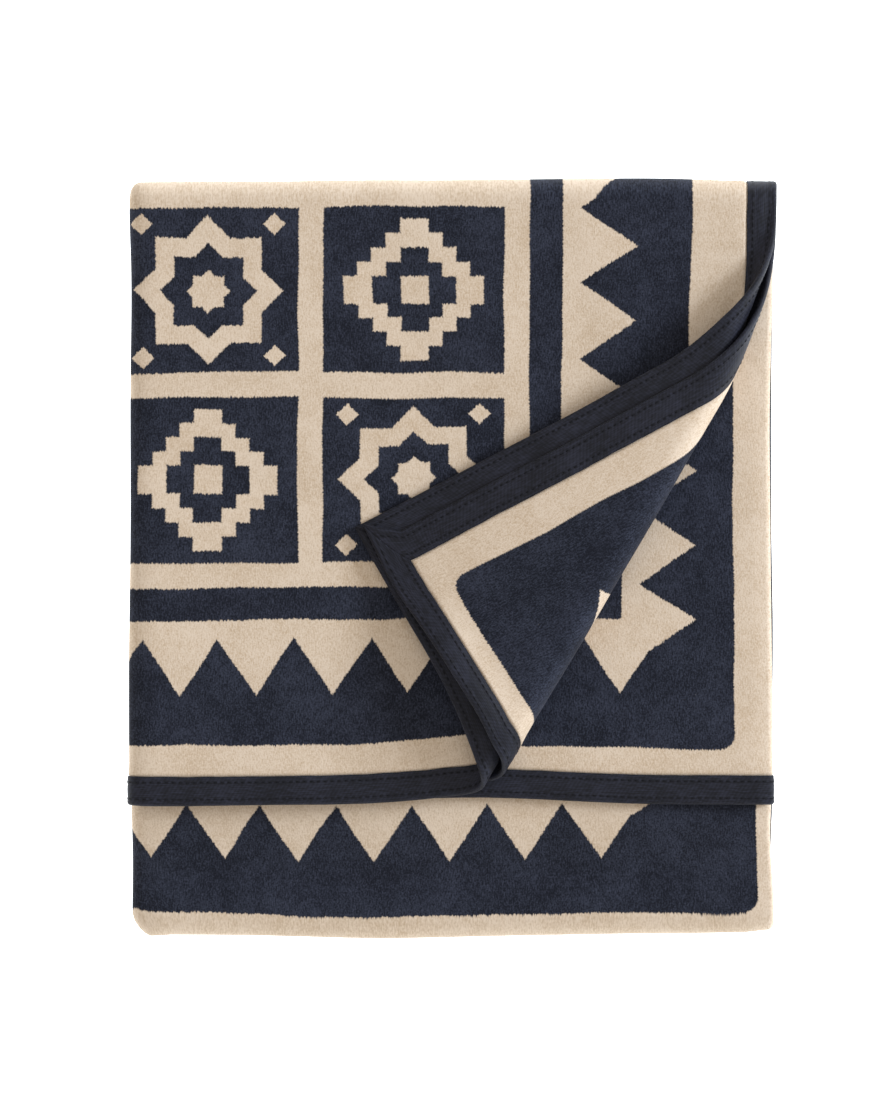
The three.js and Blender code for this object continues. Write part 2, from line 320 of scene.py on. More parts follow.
# The folded place of a flat point: the solid's folds, with the looser roll and the curled edge.
def foldPoint(u, v, n):
    sheet, x, height, nx, ny = walk(acrossPath, u)
    turned = sheet in turnedCorner["sheets"]
    fromSide = rightEdge - x
    if sheet == "second":
        share = curlShare(fromSide, v)
        v += turnedCorner["curl"]["inwards"] * share
        n -= math.copysign(turnedCorner["curl"]["lift"] * share, ny)
    v += drawIn(sheet, fromSide, v)
    panel, y, z, ny2, nz = walk(alongPath, v)
    lift = height + ny * n
    point = Vector((x + nx * n, y + ny2 * lift, z + nz * lift))
    if turned and panel == "first":
        past = pastRoll(sheet, fromSide, v)
        if past > 0:
            rollBack(point, sheet, past, ny * n, looseAt(fromSide, v))
    return settle(point)


def creaseShare(x, y):
    past, fade = creaseEnds["past"], creaseEnds["fade"]
    share = 0
    for row in creases:
        start = Vector(row["start"])
        run = Vector(row["end"]) - start
        offset = Vector((x, y)) - start
        along = offset.dot(run) / run.length_squared
        if -past < along < 1 + past:
            away = abs(offset.x * run.y - offset.y * run.x) / run.length
            ends = smooth((along + past) / fade) * smooth((1 + past - along) / fade)
            share += hump(away, 0, row["wide"], row["depth"] * ends)
    return share


# Lumps, slips and creases that leave the underside flat and keep the sheets apart.
def soften(point):
    x, y, z = point
    size = slack["lumpSize"]
    lump = noise.noise((x / size, y / size, slack["lumpSeed"]))
    size = slack["swaySize"]
    sway = noise.noise_vector((x / size, y / size, z / slack["swayLayer"]))
    inFrom = min(rightEdge - abs(x), stack["length"] / 2 - abs(y))
    slump = slack["slump"] * smooth(1 - inFrom / slack["slumpReach"]) ** 2
    return Vector((
        x + slack["sway"] * sway.x,
        y + slack["sway"] * sway.y,
        max(z * (1 + slack["lump"] * lump + creaseShare(x, y) - slump), 0),
    ))


# The ribbon's corner on the second sheet is pulled out to a small point, and the top sheet's tip drawn in.
def pullEar(u, v):
    inU = max(1 - (blanket["width"] - u) / slack["earReach"], 0)
    inV = max(1 - v / slack["earReach"], 0)
    share = inU * inV
    inTip = max(1 - u / slack["tuckAcross"], 0) * max(1 - v / slack["tuckAlong"], 0)
    return u + slack["earOut"] * share, v + slack["earAlong"] * share + slack["tuck"] * inTip


# The stack's outline as it was left by hand: bulges, a pinched corner and the ribbon's ends standing out.
def shapeOutline(point, sheet, v):
    x, y, _ = point
    front = smooth((dropStart - y) / stack["dropReach"])
    point.y += hump(x, *slack["backBulge"]) * smooth(y / backCentre)
    point.y -= hump(x, *slack["frontBulge"]) * front
    point.x += (slack["spread"] - hump(y, *slack["waist"])) * smooth(x / rightEdge)
    point.x -= hump(y, *slack["leftBulge"]) * smooth(-x / rightEdge)
    if sheet in ("lowest", "right fold", "third"):
        far, after, reach = slack["creep"]
        point.x += far * smooth(x / rightEdge) * smooth((dropStart - after - y) / reach)
    far, across, along = slack["pinch"]
    atFront = smooth((along - y - stack["length"] / 2) / along) ** 2
    point.x += far * atFront * smooth((across - x - rightEdge) / across)
    for side, far, reach in slack["corners"]:
        point.y += far * atFront * smooth((reach + side * x - rightEdge) / reach)
    across = slack["flareAcross"]
    share = smooth((slack["flareStart"] - v) / slack["flareReach"])
    outwards = smooth((across + abs(x) - rightEdge) / across)
    point.x += math.copysign(slack["flare"] * share * outwards, x)


frameShift = Vector()


def lay(u, v, n):
    u, v = pullEar(u, v)
    point = foldPoint(u, v, n) + frameShift
    shapeOutline(point, walk(acrossPath, u)[0], v)
    return soften(point)


# Even lines over each bend, and over each run at its own step.
def gridLines(path, steps, ends, stripLines=()):
    total = path[-1]["end"]
    lines = set(ends) | {total - end for end in ends}
    first, last = max(ends), total - max(ends)
    for leg in path:
        start, end = max(leg["start"], first), min(leg["end"], last)
        cuts = math.ceil((end - start) / steps[leg["name"]]) if "run" in leg else blanket["bendCuts"]
        lines |= {lerp(start, end, i / cuts) for i in range(cuts + 1)}
        if leg["name"] in ("second", "third"):
            places = (leg["start"] + (y - leg["x"]) * math.cos(leg["angle"]) for y in stripLines)
            lines |= {line for line in places if start < line < end}
    ordered = sorted(lines)
    return [a for a, b in zip(ordered, ordered[1:]) if b - a > tolerance["line"]] + [ordered[-1]]


def flatGrid(uLines, vLines):
    bm = bmesh.new()
    across, along = len(uLines) - 1, len(vLines) - 1
    bmesh.ops.create_grid(bm, x_segments=across, y_segments=along, size=0.5)
    for vert in bm.verts:
        i = round((vert.co.x + 0.5) * across)
        j = round((vert.co.y + 0.5) * along)
        vert.co = (uLines[i], vLines[j], 0)
    return bm


def onPanel(face, leg, panelEnd):
    u, v, _ = face.calc_center_median()
    return leg["start"] < u < leg["end"] and v < panelEnd


# Cuts the two turned sheets along lines parallel to their rolls, so that the bends are round.
def cutRolls(bm):
    angle = turnedCorner["angle"]
    panelEnd = legNamed(alongPath, "first")["end"]
    for name, row in turnedCorner["sheets"].items():
        leg = legNamed(acrossPath, name)
        sideSign = 1 if name == "top" else -1
        sideEdge = 0 if name == "top" else blanket["width"]
        rollLength = math.pi * row["radius"]
        earliest = -turnedCorner["looseLead"] * turnedCorner["loose"]
        count = turnedCorner["bendCuts"]
        cuts = [lerp(earliest, rollLength, i / count) for i in range(count + 1)]
        settleStart = rollLength + rollLead(name)
        count = turnedCorner["settleCuts"]
        cuts += [settleStart + turnedCorner["settle"] * i / count for i in range(1, count + 1)]
        faces = [face for face in bm.faces if onPanel(face, leg, panelEnd)]
        parts = [part for face in faces for part in (*face.edges, *face.verts)]
        geom = faces + list(dict.fromkeys(parts))
        for cut in cuts:
            made = bmesh.ops.bisect_plane(
                bm,
                geom=geom,
                dist=tolerance["cut"],
                plane_co=(sideEdge, row["alongSide"] - cut / math.sin(angle), 0),
                plane_no=(sideSign * math.cos(angle), math.sin(angle), 0),
            )
            geom = made["geom"]


# A thin closed slab of a flat grid, its flat place kept as a UV map before anything moves.
def thicken(bm, thick):
    bmesh.ops.solidify(bm, geom=bm.faces[:], thickness=thick)
    heights = [vert.co.z for vert in bm.verts]
    middle = (min(heights) + max(heights)) / 2
    for vert in bm.verts:
        vert.co.z -= middle
    flatMap = bm.loops.layers.uv.new("flat")
    for face in bm.faces:
        for loop in face.loops:
            loop[flatMap].uv = loop.vert.co.xy


def toPiece(bm, name, materials):
    bmesh.ops.recalc_face_normals(bm, faces=bm.faces[:])
    for face in bm.faces:
        face.smooth = True
    mesh = bpy.data.meshes.new(name)
    bm.to_mesh(mesh)
    bm.free()
    for material in materials:
        mesh.materials.append(material)
    piece = bpy.data.objects.new(name, mesh)
    bpy.context.scene.collection.objects.link(piece)
    print("piece:", name, len(mesh.polygons), "faces")
    return piece


# Half thickness of the cloth, less in the hem that the ribbon holds.
def clothHalfAt(u, v):
    inFrom = min(u, blanket["width"] - u, v, blanket["length"] - v) - blanket["hemWidth"]
    rows = blanket["hemRounding"]
    if inFrom <= tolerance["hem"]:
        return rows[0][1]
    for (near, thin), (far, thickHalf) in zip(rows, rows[1:]):
        if inFrom < far:
            return lerp(thin, thickHalf, (inFrom - near) / (far - near))
    return rows[-1][1]


def foldedCloth(material):
    ends = [0] + [blanket["hemWidth"] + past for past, _ in blanket["hemRounding"]]
    stripStart = dropStart + blanket["stripAhead"]
    stripCount = round((stripStart + stack["length"] / 2) / blanket["stripStep"])
    stripLines = [stripStart - blanket["stripStep"] * i for i in range(stripCount)]
    uLines = gridLines(acrossPath, blanket["acrossStep"], ends)
    vLines = gridLines(alongPath, blanket["alongStep"], ends, stripLines)
    bm = flatGrid(uLines, vLines)
    cutRolls(bm)
    thicken(bm, blanket["thick"])
    for vert in bm.verts:
        u, v, n = vert.co
        vert.co.z = math.copysign(clothHalfAt(u, v), n)
    centreOnFrame(bm)
    for vert in bm.verts:
        vert.co = lay(*vert.co)
    return toPiece(bm, "woolBlanket", [material])


# The solid stands on the middle of its underside; the fold is moved to stand there too.
def centreOnFrame(bm):
    points = [foldPoint(*vert.co) for vert in bm.verts]
    low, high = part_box("blanket_cloth")
    for axis in range(2):
        places = [point[axis] for point in points]
        frameShift[axis] = (low[axis] + high[axis] - min(places) - max(places)) / 2
    frameShift.z = low.z - min(point.z for point in points)


# Ribbon folded over the raw edge: s runs along the edge, r across the ribbon round its nose, t through it.
ribbon = {
    "width": 0.017,  # on each face
    "thick": 0.0006,
    "half": 0.0012,  # middle of the cloth to the middle of the ribbon
    "nose": 0.0005,  # centre of the round outer edge, in from the cloth's edge
    "mitreGap": 0.00003,
    "mitreZone": 0.045,  # the slant of the mitred end fades out over this
    "columns": (0.017, 0.0167, 0.0156, 0.0110, 0.0091, 0.0072, 0.0055, 0.0012),  # in from the edge
    "besideRow": (-0.0011, -0.0005, 0, 0.0005, 0.0011),  # and more columns by each stitch row
    "noseCuts": 6,
    "stitchRows": (0.0134, 0.0031),
    "stitchPitch": 0.0042,
    "firstStitch": 0.005,
    "stitchEnds": 0.006,  # left free in a stretch
    "stitchProud": 0.00006,
    "stitchSkew": (0.10, 400, 900),  # most turn, and its grain along and across
    "stitchBeat": 0.25,  # how much the draw of a row varies along it
    "stitchSize": (0.0015, 0.00032, 0.00026),  # half length, half width, half height
    "stitchSink": 0.0007,
    "sinkWide": 0.0008,
    "bead": (0.0012, 0.0011, 0.0005),  # fuller by the outer edge: in from it, half width, how much
    "belly": (0.0088, 0.0034, 0.00026),  # fuller between the rows
    "pressed": (0.0013, 0.5),  # the stack presses what stands higher: from this height, share left
    "ripple": 0.16,
    "rippleSize": (0.013, 0.02),  # along, across
    "rippleSeed": 5,
    "waver": 0.00022,  # in and out, more towards the inner edge
    "waverSize": 0.012,
    "waverLeast": 0.4,
}

# An edge runs across the cloth or along it, at the start or the end of the other way. Its steps are those
# of its first sheet or panel, and of the later ones.
edges = {
    "topSideBinding": {
        "node": "binding_top_side",
        "across": False,
        "atStart": True,
        "seed": 3,
        "steps": (0.0014, 0.008),
    },
    "secondSideBinding": {
        "node": "binding_second_side",
        "across": False,
        "atStart": False,
        "seed": 0,
        "steps": (0.0014, 0.008),
    },
    "frontEndBinding": {
        "node": "binding_front_end",
        "across": True,
        "atStart": True,
        "seed": 10,
        "steps": (0.0016, 0.0016),
    },
    "underEndBinding": {
        "node": "binding_under_end",
        "across": True,
        "atStart": False,
        "seed": 7,
        "steps": (0.006, 0.006),
    },
}


# In from the edge and above the middle of the cloth, for a place across the ribbon.
def ribbonSection(r, t):
    radius = ribbon["half"] + t
    quarter = math.pi * ribbon["half"] / 2
    if abs(r) > quarter:
        return ribbon["nose"] + abs(r) - quarter, math.copysign(radius, r)
    turn = r / ribbon["half"]
    return ribbon["nose"] - radius * math.cos(turn), radius * math.sin(turn)


def columnPlace(inFrom):
    return inFrom - ribbon["nose"] + math.pi * ribbon["half"] / 2


# Stands fuller along the outer edge and between the rows, and is drawn in by each stitch.
def ribbonPuff(s, inFrom):
    puff = hump(inFrom, *ribbon["bead"]) + hump(inFrom, *ribbon["belly"])
    pull = math.cos(2 * math.pi * (s - ribbon["firstStitch"]) / ribbon["stitchPitch"])
    beat = 1 - ribbon["stitchBeat"] * (1 - pull)
    for row in ribbon["stitchRows"]:
        puff -= hump(inFrom, row, ribbon["sinkWide"], ribbon["stitchSink"] * beat)
    return puff


def ribbonPoint(edge, s, r, t):
    inFrom, n = ribbonSection(r, t)
    n += math.copysign(ribbonPuff(s, inFrom), n) * min(abs(n) / ribbon["half"], 1)
    waver = noise.noise((s / ribbon["waverSize"], edge["seed"], math.copysign(1, r)))
    inFrom += ribbon["waver"] * waver * (ribbon["waverLeast"] + inFrom / ribbon["width"])
    sizeAlong, sizeAcross = ribbon["rippleSize"]
    ripple = noise.noise((s / sizeAlong, inFrom / sizeAcross, edge["seed"] + ribbon["rippleSeed"]))
    n *= 1 + ribbon["ripple"] * ripple
    level, share = ribbon["pressed"]
    n -= math.copysign(max(abs(n) - level, 0) * (1 - share), n)
    length = blanket["width"] if edge["across"] else blanket["length"]
    zone = ribbon["mitreZone"]
    mitre = inFrom + ribbon["mitreGap"]
    if s < zone:
        s = mitre + s * (zone - mitre) / zone
    elif s > length - zone:
        s = length - mitre - (length - s) * (zone - mitre) / zone
    depth = blanket["length"] if edge["across"] else blanket["width"]
    place = inFrom if edge["atStart"] else depth - inFrom
    return (s, place, n) if edge["across"] else (place, s, n)


# Lines along an edge: close where the ribbon shows and wide where the stack hides it.
def edgeLines(edge):
    path = acrossPath if edge["across"] else alongPath
    first, later = edge["steps"]
    steps = {leg["name"]: later for leg in path}
    steps[path[0]["name"]] = first
    return gridLines(path, steps, [0])


def edgeRibbon(name, edge, material):
    quarter = math.pi * ribbon["half"] / 2
    columns = [*ribbon["columns"]]
    columns += [row + beside for row in ribbon["stitchRows"] for beside in ribbon["besideRow"]]
    rLines = {columnPlace(column) for column in columns}
    rLines |= {-line for line in rLines}
    rLines |= {lerp(-quarter, quarter, i / ribbon["noseCuts"]) for i in range(ribbon["noseCuts"] + 1)}
    bm = flatGrid(edgeLines(edge), sorted(rLines))
    thicken(bm, ribbon["thick"])
    for vert in bm.verts:
        vert.co = lay(*ribbonPoint(edge, *vert.co))
    return toPiece(bm, name, [material])


# Where stitches can be seen, as stretches of each edge and the faces they show on.
def stitchStretches(edge):
    length = blanket["width"] if edge["across"] else blanket["length"]
    if edge["across"] and edge["atStart"]:
        return [(0, length, (1, -1))]
    if edge["across"]:
        return [(0, legNamed(acrossPath, "top")["end"], (1,))]
    stretches = [(0, legNamed(alongPath, "first")["end"], (1, -1))]
    if edge["atStart"]:
        stretches.append((legNamed(alongPath, "fourth")["start"], length, (1,)))
    return stretches


# One stitch on the flat ribbon, a little skewed.
def addStitch(bm, s, row, face):
    turn, grainAlong, grainAcross = ribbon["stitchSkew"]
    turn *= noise.noise((s * grainAlong, row * grainAcross, face))
    place = Matrix.Translation((s, face * columnPlace(row), ribbon["thick"] / 2 + ribbon["stitchProud"]))
    matrix = place @ Matrix.Rotation(turn, 4, "Z") @ Matrix.Diagonal((*ribbon["stitchSize"], 1))
    bmesh.ops.create_icosphere(bm, subdivisions=1, radius=1, matrix=matrix)


def stitchRows(material):
    bm = bmesh.new()
    for edge in edges.values():
        edgeBm = bmesh.new()
        for start, end, faces in stitchStretches(edge):
            count = int((end - start - ribbon["stitchEnds"]) / ribbon["stitchPitch"])
            for i in range(count):
                s = start + ribbon["firstStitch"] + ribbon["stitchPitch"] * i
                for row in ribbon["stitchRows"]:
                    for face in faces:
                        addStitch(edgeBm, s, row, face)
        for vert in edgeBm.verts:
            vert.co = lay(*ribbonPoint(edge, *vert.co))
        scratch = bpy.data.meshes.new("scratch")
        edgeBm.to_mesh(scratch)
        edgeBm.free()
        bm.from_mesh(scratch)
        bpy.data.meshes.remove(scratch)
    return toPiece(bm, "bindingStitches", [material])


# A socket with arithmetic: an expression on values adds its Math nodes.
class Wire:
    def __init__(self, tree, socket=None):
        self.tree = tree
        self.socket = socket

    def node(self, kind, settings, sockets, output=0):
        made = self.tree.nodes.new(kind)
        for name, value in settings.items():
            setattr(made, name, value)
        for key, value in sockets.items():
            if isinstance(value, Wire):
                self.tree.links.new(value.socket, made.inputs[key])
            else:
                made.inputs[key].default_value = value
        return Wire(self.tree, made.outputs[output] if made.outputs else None)

    def math(self, operation, *values):
        return self.node("ShaderNodeMath", {"operation": operation}, dict(enumerate((self, *values))))

    def __add__(self, other):
        return self.math("ADD", other)

    def __radd__(self, other):
        return self.math("ADD", other)

    def __sub__(self, other):
        return self.math("SUBTRACT", other)

    def __rsub__(self, other):
        return self.node("ShaderNodeMath", {"operation": "SUBTRACT"}, {0: other, 1: self})

    def __mul__(self, other):
        return self.math("MULTIPLY", other)

    def __rmul__(self, other):
        return self.math("MULTIPLY", other)

    def __truediv__(self, other):
        return self.math("DIVIDE", other)

    def __neg__(self):
        return self.math("MULTIPLY", -1)

    def __abs__(self):
        return self.math("ABSOLUTE")

    def __mod__(self, other):
        return self.math("FLOORED_MODULO", other)

    def __gt__(self, other):
        return self.math("GREATER_THAN", other)

    def least(self, other):
        return self.math("MINIMUM", other)

    def most(self, other):
        return self.math("MAXIMUM", other)

    def whole(self):
        return self.math("FLOOR")

    def root(self):
        return self.math("SQRT")

    def around(self, middle, weight):
        return (self - middle) * weight

    def wave(self):
        return self.math("SINE") * 0.5 + 0.5

    def clamped(self):
        return self.node("ShaderNodeClamp", {}, {0: self})

    def mix(self, one, other):
        return self.node("ShaderNodeMix", {"data_type": "RGBA"}, {0: self, 6: one, 7: other}, 2)

    def parts(self):
        made = self.node("ShaderNodeSeparateXYZ", {}, {0: self})
        sockets = made.socket.node.outputs
        return Wire(self.tree, sockets[0]), Wire(self.tree, sockets[1])

    def vector(self, operation, *values):
        settings = {"operation": operation}
        return self.node("ShaderNodeVectorMath", settings, dict(enumerate((self, *values))))

    def moved(self, offset, share):
        return offset.vector("SUBTRACT", (0.5, 0.5, 0.5)).vector("MULTIPLY_ADD", share, self)

    def stretched(self, turn, scale):
        sockets = {"Vector": self, "Rotation": (0, 0, turn), "Scale": scale}
        return self.node("ShaderNodeMapping", {}, sockets)

    def grain(self, scale, detail, rough, output=0):
        sockets = {"Vector": self, "Scale": scale, "Detail": detail, "Roughness": rough}
        return self.node("ShaderNodeTexNoise", {"noise_dimensions": "2D"}, sockets, output)


def newMaterial(name):
    material = bpy.data.materials.new(name)
    material.use_nodes = True
    tree = material.node_tree
    tree.nodes.clear()
    return material, Wire(tree)


def finishMaterial(wire, constants, links):
    shader = wire.node("ShaderNodeBsdfPrincipled", {}, {**constants, **links})
    wire.node("ShaderNodeOutputMaterial", {}, {"Surface": shader})


# sRGB 0 to 255 to linear.
def colour(r, g, b):
    def linear(c):
        c /= 255
        return c / 12.92 if c < 0.04045 else ((c + 0.055) / 1.055) ** 2.4
    return linear(r), linear(g), linear(b), 1


woolLooks = {
    "cream": colour(225, 209, 191),
    "creamFleck": colour(199, 178, 153),
    "navy": colour(27, 30, 40),
    "navyFleck": colour(59, 64, 80),
    "wobble": 0.0036,  # hand-drawn waver of the design's edges
    "wobbleGrain": (16.0, 1.0, 0.5),  # scale to the metre, detail, roughness
    "fray": 0.0030,  # loose fibres along the cloth, and across it
    "frayAcross": 0.0016,
    "frayGrain": (170.0, 2.0, 0.65),
    "frayStretch": 5.0,
    "softEdge": 0.0008,
    "hem": 0.0164,  # navy under the ribbon
    "fibreTurns": (0.45, -0.5),  # radians
    "fibreGrains": ((330.0, 2.0, 0.6), (300.0, 2.0, 0.6)),
    "fibreStretch": 4.0,
    "clumpGrain": (900.0, 2.0, 0.6),
    "patchGrain": (150.0, 1.0, 0.5),
    "mottleGrain": (30.0, 2.0, 0.5),
    "fibreTone": (0.56, 2.2),  # level with no effect on the tone, weight
    "clumpTone": (0.5, 1.8),
    "patchTone": (0.5, 0.5),
    "mottleTone": (0.5, 0.8),
    "tone": 0.36,
    "fibreHeight": 0.6,
    "clumpHeight": 0.7,
    "bump": 0.5,
    "bumpHeight": 0.0004,
    "rough": (0.86, 0.1),  # least, and more on the clumps
    "sheen": 0.05,
    "sheenRough": 0.55,
    "specular": 0.08,
}

# The woven design on one quarter of the cloth, mirrored to the other three but for its frame's reach.
# a is in from the side edge and b in from the end.
design = {
    "sideMargin": 0.053,
    "endMargin": 0.036,
    "middleMarginA": 0.021,
    "middleMarginB": 0.010,
    # how far the frame reaches into its margins in each half of the width: side, middle A, end, middle B
    "firstReach": (0.0025, 0.018, 0.0, 0.004),
    "secondReach": (0.015, -0.007, 0.0035, 0.0),
    "frame": 0.030,
    "outerRound": 0.009,
    "innerRound": 0.003,
    "toothZone": 0.045,
    "toothTall": 0.034,
    "toothSlope": 0.6,  # makes a height over a tooth's slanted edge a distance from it
    "teeth": (14, 16),
    "stripe": 0.020,
    "bar": 0.015,
    "cells": (4, 5),
    "star": (0.032, 0.021, 0.0095),  # outer edge, inner edge, core
    "corner": (0.040, 0.0065),  # small diamonds by the stars: out from the middle, size
    "stair": 0.0085,
    "stairSteps": (5, 3, 1),  # outer edge, inner edge, core
}


# Distances below are negative inside a shape.
def boxAround(x, y, halfX, halfY, rounding=0.0):
    outX = abs(x) - (halfX - rounding)
    outY = abs(y) - (halfY - rounding)
    if not rounding:
        return outX.most(outY)
    farX, farY = outX.most(0.0), outY.most(0.0)
    return (farX * farX + farY * farY).root() + outX.most(outY).least(0.0) - rounding


# A saw edge from 0 to 1 and back, once in each repeat.
def zigzag(t, repeat):
    return 1 - abs((t / repeat % 1.0) * 2 - 1)


# Steps of a stair-edged diamond, as overlapping boxes.
def stairDiamond(x, y, steps, step):
    shape = boxAround(x, y, step, steps * step)
    for i in range(1, steps):
        shape = shape.least(boxAround(x, y, (i + 1) * step, (steps - i) * step))
    return shape


# Negative where the design is navy.
def navyShape(u, v):
    halfU, halfV = blanket["width"] / 2, blanket["length"] / 2
    a = halfU - abs(u - halfU)
    b = halfV - abs(v - halfV)
    halfA = (halfU - design["sideMargin"] - design["middleMarginA"]) / 2
    halfB = (halfV - design["endMargin"] - design["middleMarginB"]) / 2
    x = a - (design["sideMargin"] + halfA)
    y = b - (design["endMargin"] + halfB)
    second = u > halfU
    reaches = zip(design["firstReach"], design["secondReach"])
    side, middleA, end, middleB = (first + second * (other - first) for first, other in reaches)
    frameOut = boxAround(
        x + (side - middleA) / 2,
        y + (end - middleB) / 2,
        halfA + (side + middleA) / 2,
        halfB + (end + middleB) / 2,
        design["outerRound"],
    )
    innerA, innerB = halfA - design["frame"], halfB - design["frame"]
    frameIn = boxAround(x, y, innerA, innerB, design["innerRound"])
    border = frameOut.most(-frameIn)

    # teeth stand on the frame and point inwards
    outA, outB = abs(x) - innerA, abs(y) - innerB
    onSide = outA > outB
    toothA = zigzag(x + innerA, 2 * innerA / design["teeth"][0])
    toothB = zigzag(y + innerB, 2 * innerB / design["teeth"][1])
    tooth = toothA + onSide * (toothB - toothA)
    inside = -outA.most(outB)
    teeth = (inside - design["toothTall"] * tooth) * design["toothSlope"]

    stripeMiddle = design["toothZone"] + design["stripe"] / 2
    stripe = abs(inside - stripeMiddle) - design["stripe"] / 2

    # navy cells between cream bars, with eight-pointed stars and stair-edged diamonds in turn
    edge = design["toothZone"] + design["stripe"] + design["bar"] / 2
    fieldA, fieldB = innerA - edge, innerB - edge
    cellA, cellB = 2 * fieldA / design["cells"][0], 2 * fieldB / design["cells"][1]
    countA, countB = (x + fieldA) / cellA, (y + fieldB) / cellB
    cellX = (countA % 1.0 - 0.5) * cellA
    cellY = (countB % 1.0 - 0.5) * cellB
    odd = (countA.whole() + countB.whole()) % 2.0
    far, near, core = design["star"]
    point = boxAround(cellX, cellY, 0.0, 0.0).least((abs(cellX) + abs(cellY)) * math.sqrt(0.5))
    star = (far - point).least((point - near).most(core - point))
    out, size = design["corner"]
    star = star.most(size - abs(abs(cellX) - out) - abs(abs(cellY) - out))
    stairs = [stairDiamond(cellX, cellY, steps, design["stair"]) for steps in design["stairSteps"]]
    outer, inner, heart = stairs
    diamond = (-outer).least(inner.most(-heart))
    motif = star + odd * (diamond - star)
    cell = boxAround(cellX, cellY, (cellA - design["bar"]) / 2, (cellB - design["bar"]) / 2)
    field = cell.most(motif).most(edge - inside)
    return border.least(teeth.most(frameIn - design["frame"] / 2)).least(stripe).least(field)


def woolMaterial():
    material, wire = newMaterial("brushedWool")
    flat = wire.node("ShaderNodeUVMap", {"uv_map": "flat"}, {})
    wobble, fray, frayAcross = woolLooks["wobble"], woolLooks["fray"], woolLooks["frayAcross"]
    stretch = woolLooks["frayStretch"]
    endFray = flat.stretched(0.0, (stretch, 1.0, 1.0)).grain(*woolLooks["frayGrain"], 1)
    sideFray = flat.stretched(0.0, (1.0, stretch, 1.0)).grain(*woolLooks["frayGrain"], 1)
    drawn = flat.moved(flat.grain(*woolLooks["wobbleGrain"], 1), (wobble, wobble, 0))
    drawn = drawn.moved(endFray, (0, fray, 0)).moved(sideFray, (frayAcross, 0, 0))
    navy = (0.5 - navyShape(*drawn.parts()) / woolLooks["softEdge"]).clamped()
    u, v = flat.parts()
    halfU, halfV = blanket["width"] / 2, blanket["length"] / 2
    inFrom = (halfU - abs(u - halfU)).least(halfV - abs(v - halfV))
    navy = navy.most(1 - (inFrom > woolLooks["hem"]))

    # felted fibres lying two ways, and the clumps of the nap
    along = (woolLooks["fibreStretch"], 1.0, 1.0)
    turns = zip(woolLooks["fibreTurns"], woolLooks["fibreGrains"])
    fibreA, fibreB = (flat.stretched(turn, along).grain(*grain) for turn, grain in turns)
    fibre = fibreA.most(fibreB)
    clump = flat.grain(*woolLooks["clumpGrain"])
    patch = flat.grain(*woolLooks["patchGrain"])
    mottle = flat.grain(*woolLooks["mottleGrain"])
    tone = fibre.around(*woolLooks["fibreTone"]) + clump.around(*woolLooks["clumpTone"])
    tone = tone + patch.around(*woolLooks["patchTone"]) + mottle.around(*woolLooks["mottleTone"])
    tone = (tone + woolLooks["tone"]).clamped()
    cream = tone.mix(woolLooks["cream"], woolLooks["creamFleck"])
    dark = tone.mix(woolLooks["navy"], woolLooks["navyFleck"])
    bump = wire.node("ShaderNodeBump", {}, {
        "Strength": woolLooks["bump"],
        "Distance": woolLooks["bumpHeight"],
        "Height": fibre * woolLooks["fibreHeight"] + clump * woolLooks["clumpHeight"],
    })
    least, more = woolLooks["rough"]
    finishMaterial(wire, {
        "Sheen Weight": woolLooks["sheen"],
        "Sheen Roughness": woolLooks["sheenRough"],
        "Specular IOR Level": woolLooks["specular"],
    }, {
        "Base Color": navy.mix(cream, dark),
        "Roughness": least + more * clump,
        "Normal": bump,
    })
    return material


ribbonLooks = {
    "base": colour(20, 22, 31),
    "light": colour(52, 55, 72),
    "ribs": 2600.0,  # fine weft ribs and their slant, radians to the metre
    "twill": 1500.0,
    "warp": 5200.0,
    "ribShare": 0.6,
    "slubGrain": (160.0, 2.0, 0.6),  # scale to the metre, detail, roughness
    "slubStretch": 6.0,
    "rubGrain": (38.0, 2.0, 0.5),
    "weaveTone": 0.30,
    "slubTone": (0.5, 1.2),  # level with no effect on the tone, weight
    "rubTone": (0.5, 0.6),
    "tone": 0.08,
    "grooveShadeWide": 0.0011,  # painted shade in the stitch grooves, with the dark thread: its half width
    # how much the rows are darkened: painted shade in the grooves and the dark thread
    "grooveShadeAndThread": 0.45,
    "grooveShadeBeat": (0.9, 0.6),  # beat of the stitches along the painted groove shade, and its middle
    "bump": 0.25,
    "bumpHeight": 0.0002,
    "slubHeight": 0.8,
    "rough": (0.50, 0.2),  # least, and more on the slubs
    "sheen": 0.03,
    "sheenRough": 0.4,
    "specular": 0.22,
}


